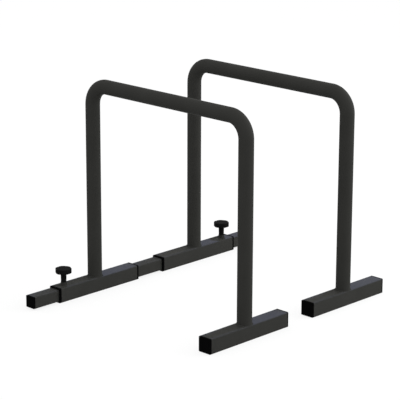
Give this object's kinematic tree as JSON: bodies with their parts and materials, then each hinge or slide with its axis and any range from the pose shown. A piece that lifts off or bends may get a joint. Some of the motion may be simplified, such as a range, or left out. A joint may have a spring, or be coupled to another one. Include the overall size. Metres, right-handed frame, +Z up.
{
  "type": "dip station",
  "caption": "Dip station with bent-pipe handles on square feet, joined at the rear by an adjustable crossbar that clamp knobs lock.",
  "frame": {"origin": "on the floor, midway between the two handles and midway between the front and rear legs", "axes": "+X along the crossbar to the right as seen from the front, +Y to the rear, where the crossbar lies, +Z up"},
  "size_m": [1.042, 0.7309, 0.725],
  "materials": {
    "painted_steel": "fine matt charcoal powder coat",
    "black_plastic": "moulded black plastic, faintly textured",
    "knob_plastic": "moulded dark plastic, satin",
    "zinc_screw": "zinc-plated threaded steel",
    "pad_nylon": "natural nylon"
  },
  "bodies": {
    "crossbar": {"crossbar_tube": "painted_steel", "crossbar_cap_left": "black_plastic", "crossbar_cap_right": "black_plastic"},
    "left_frame": {"left_handle_frame": "painted_steel", "left_front_weld": "painted_steel", "left_rear_weld": "painted_steel", "left_front_foot": "painted_steel", "left_foot_cap_outer": "black_plastic", "left_foot_cap_inner": "black_plastic", "left_rear_sleeve": "painted_steel", "left_sleeve_bushing_outer": "black_plastic", "left_sleeve_bushing_inner": "black_plastic", "left_clamp_nut": "painted_steel", "left_nut_weld": "painted_steel"},
    "left_pad": {"left_thrust_pad": "pad_nylon"},
    "left_knob": {"left_knob_screw": "zinc_screw", "left_knob_grip": "knob_plastic"},
    "right_frame": {"right_handle_frame": "painted_steel", "right_front_weld": "painted_steel", "right_rear_weld": "painted_steel", "right_front_foot": "painted_steel", "right_foot_cap_outer": "black_plastic", "right_foot_cap_inner": "black_plastic", "right_rear_sleeve": "painted_steel", "right_sleeve_bushing_outer": "black_plastic", "right_sleeve_bushing_inner": "black_plastic", "right_clamp_nut": "painted_steel", "right_nut_weld": "painted_steel"},
    "right_pad": {"right_thrust_pad": "pad_nylon"},
    "right_knob": {"right_knob_screw": "zinc_screw", "right_knob_grip": "knob_plastic"}
  },
  "joints": [
    {"name": "left_frame_slide", "type": "slide", "parent": "crossbar", "child": "left_frame", "axis": [-1, 0, 0], "range_m": [-0.057, 0.107]},
    {"name": "left_pad_lift", "type": "slide", "parent": "left_frame", "child": "left_pad", "axis": [0, 0, 1], "range_m": [0, 0.0035]},
    {"name": "left_knob_turn", "type": "hinge", "parent": "left_pad", "child": "left_knob", "pos_m": [-0.375, 0.34, 0.1], "axis": [0, 0, 1], "range_deg": [0, 720]},
    {"name": "right_frame_slide", "type": "slide", "parent": "crossbar", "child": "right_frame", "axis": [1, 0, 0], "range_m": [-0.057, 0.107]},
    {"name": "right_pad_lift", "type": "slide", "parent": "right_frame", "child": "right_pad", "axis": [0, 0, 1], "range_m": [0, 0.0035]},
    {"name": "right_knob_turn", "type": "hinge", "parent": "right_pad", "child": "right_knob", "pos_m": [0.375, 0.34, 0.1], "axis": [0, 0, 1], "range_deg": [0, 720]}
  ],
  "couplings": [
    {"joint": "left_knob_turn", "follows": "left_pad_lift", "rad_per_m": 3590.4},
    {"joint": "right_knob_turn", "follows": "right_pad_lift", "rad_per_m": 3590.4}
  ]
}
